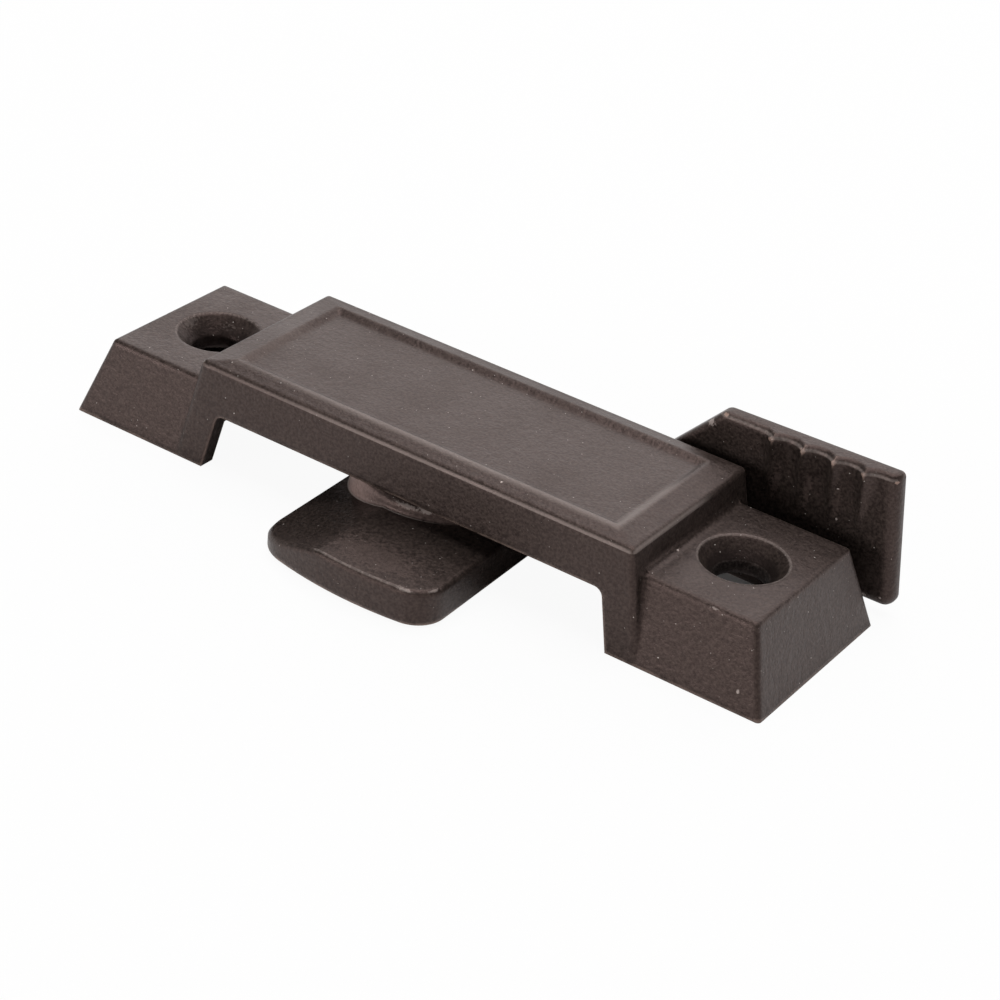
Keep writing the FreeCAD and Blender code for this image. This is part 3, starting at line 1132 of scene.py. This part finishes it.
@dataclass
class StudioSet:
    """Pale floor, soft lamps and even surroundings."""

    floor_size: float = 4.0
    floor_colour: Colour = (0.8, 0.8, 0.8)
    floor_white_share: float = 0.94
    foot_inner: float = 28.6 * MM
    foot_inner_rear: float = 24.0 * MM
    rear_start: float = 6.5 * MM
    foot_outer: float = 40.0 * MM
    foot_half_width: float = 10.0 * MM
    shade_reach: float = 10.0 * MM
    end_clearing: float = 2.5
    front_share: float = 0.72
    front_reach: float = 40.0 * MM
    air_colour: Colour = (1.0, 0.955, 0.945)
    air_low: float = 0.85
    air_high: float = 0.05
    air_fade_end: float = 0.5
    aim: tuple[float, float, float] = (0.0, 0.0, 6.0 * MM)
    lamps: tuple[Softbox, ...] = (
        Softbox("lamp_front_left", (-0.40, -0.78, 0.22), 0.55, 0.22, 3.1),
        Softbox("lamp_back", (-0.25, 0.90, 0.60), 1.6, 0.8, 6.3, (1.0, 0.96, 0.95)),
        Softbox("lamp_overhead", (0.0, 0.10, 0.90), 0.8, 0.8, 7.5),
        Softbox("lamp_right", (0.62, 0.70, 0.14), 0.5, 0.25, 0.4, (1.0, 0.9, 0.86)),
    )

    def open_floor(self, wiring: Wiring) -> tuple[Socket, Socket]:
        """Mark how far the floor lies clear of the lock, which closes it off from the light.

        Args:
            wiring: Adds nodes to the floor's material.

        Returns:
            A value that is 0 under a foot and 1 elsewhere, and one that rises from 0 under the lock to 1
            in the open.
        """
        place = wiring.add("ShaderNodeTexCoord").outputs["Object"]
        axes = wiring.axes(place)
        along = wiring.math("ABSOLUTE", axes[0])
        across = wiring.math("ABSOLUTE", axes[1])
        at_rear = wiring.math("GREATER_THAN", axes[1], self.rear_start)
        inner = wiring.ramp(at_rear, 0.0, 1.0, self.foot_inner, self.foot_inner_rear)
        past_inner = wiring.math("GREATER_THAN", along, inner)
        before_outer = wiring.math("LESS_THAN", along, self.foot_outer)
        beside = wiring.math("LESS_THAN", across, self.foot_half_width)
        under = wiring.product(past_inner, before_outer, beside)
        past_end = wiring.math("MAXIMUM", wiring.math("SUBTRACT", along, self.foot_outer), 0.0)
        off_end = wiring.math("MULTIPLY", past_end, self.end_clearing)
        off_side = wiring.math("MAXIMUM", wiring.math("SUBTRACT", across, self.foot_half_width), 0.0)
        squares = wiring.math("ADD", wiring.math("POWER", off_end, 2.0), wiring.math("POWER", off_side, 2.0))
        clear = wiring.ramp(wiring.math("SQRT", squares), 0.0, self.shade_reach)
        behind = wiring.ramp(axes[1], -self.front_reach, 0.0, self.front_share, 1.0)
        return wiring.math("SUBTRACT", 1.0, under), wiring.math("MULTIPLY", clear, behind)

    def floor(self) -> None:
        """Lay the floor, which shows white to the camera and in reflections but keeps the lock's shadow."""
        half = self.floor_size / 2
        corners = [(-half, -half, 0), (half, -half, 0), (half, half, 0), (-half, half, 0)]
        mesh = bpy.data.meshes.new("floor")
        mesh.from_pydata(corners, [], [(0, 1, 2, 3)])
        floor = new_object("floor", mesh)
        material, wiring = new_material("floor_paper")
        path = wiring.add("ShaderNodeLightPath").outputs
        beside_feet, clear = self.open_floor(wiring)
        reflected = wiring.math("MAXIMUM", path["Is Glossy Ray"], path["Is Transmission Ray"])
        seen = wiring.math("MULTIPLY", path["Is Camera Ray"], beside_feet)
        mirrored = wiring.math("MULTIPLY", reflected, clear)
        white_rays = wiring.math("MAXIMUM", seen, mirrored)
        share = wiring.math("MULTIPLY", white_rays, self.floor_white_share)
        paper = wiring.add("ShaderNodeBsdfDiffuse", {"Color": (*self.floor_colour, 1.0)})
        white = wiring.add("ShaderNodeEmission", {"Color": (1.0, 1.0, 1.0, 1.0), "Strength": 1.0})
        mixed = wiring.add("ShaderNodeMixShader", {0: share, 1: paper.outputs[0], 2: white.outputs[0]})
        wiring.add("ShaderNodeOutputMaterial", {"Surface": mixed.outputs[0]})
        mesh.materials.append(material)

    def surroundings(self) -> None:
        """Set the even light from all round, which fades towards the zenith."""
        world = bpy.data.worlds.new("studio_air")
        world.use_nodes = True
        world.node_tree.nodes.clear()
        wiring = Wiring(world.node_tree)
        heading = wiring.add("ShaderNodeTexCoord").outputs["Generated"]
        height = wiring.axes(heading)[2]
        strength = wiring.ramp(height, 0.0, self.air_fade_end, self.air_low, self.air_high)
        air = wiring.add("ShaderNodeBackground", {"Color": (*self.air_colour, 1.0), "Strength": strength})
        wiring.add("ShaderNodeOutputWorld", {"Surface": air.outputs[0]})
        bpy.context.scene.world = world

    def build(self) -> None:
        """Build floor, surroundings and lamps."""
        self.floor()
        self.surroundings()
        for lamp in self.lamps:
            lamp.build(Vector(self.aim))


@dataclass
class ProductCamera:
    """Camera at the photograph's place and angle."""

    place: tuple[float, float, float] = (122.838 * MM, -194.178 * MM, 139.009 * MM)
    azimuth: float = 31.35
    elevation: float = 30.809
    roll: float = 6.492
    lens: float = 96.476
    sensor: float = 36.0
    nearest: float = 0.01
    furthest: float = 20.0

    def build(self) -> None:
        """Set the camera up as the scene's own."""
        turn = math.radians(self.azimuth)
        rise = math.radians(self.elevation)
        back = Vector((math.sin(turn) * math.cos(rise), -math.cos(turn) * math.cos(rise), math.sin(rise)))
        level_right = (-back).cross(Vector((0.0, 0.0, 1.0))).normalized()
        level_up = level_right.cross(-back)
        lean = math.radians(self.roll)
        right = math.cos(lean) * level_right + math.sin(lean) * level_up
        up = math.cos(lean) * level_up - math.sin(lean) * level_right
        camera = bpy.data.cameras.new("product_camera")
        camera.lens = self.lens
        camera.sensor_fit = "HORIZONTAL"
        camera.sensor_width = self.sensor
        camera.clip_start = self.nearest
        camera.clip_end = self.furthest
        holder = new_object("product_camera", camera)
        turned = Matrix((right, up, back)).transposed().to_4x4()
        holder.matrix_world = Matrix.Translation(self.place) @ turned
        bpy.context.scene.camera = holder
        bpy.context.scene.view_settings.view_transform = "Standard"


def main() -> None:
    """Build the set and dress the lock."""
    logging.basicConfig(level=logging.INFO, format="%(message)s")
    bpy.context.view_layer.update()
    ProductCamera().build()
    StudioSet().build()
    Housing().build()
    CamLever().build()
    PivotStack().build()


if __name__ == "__main__":
    main()
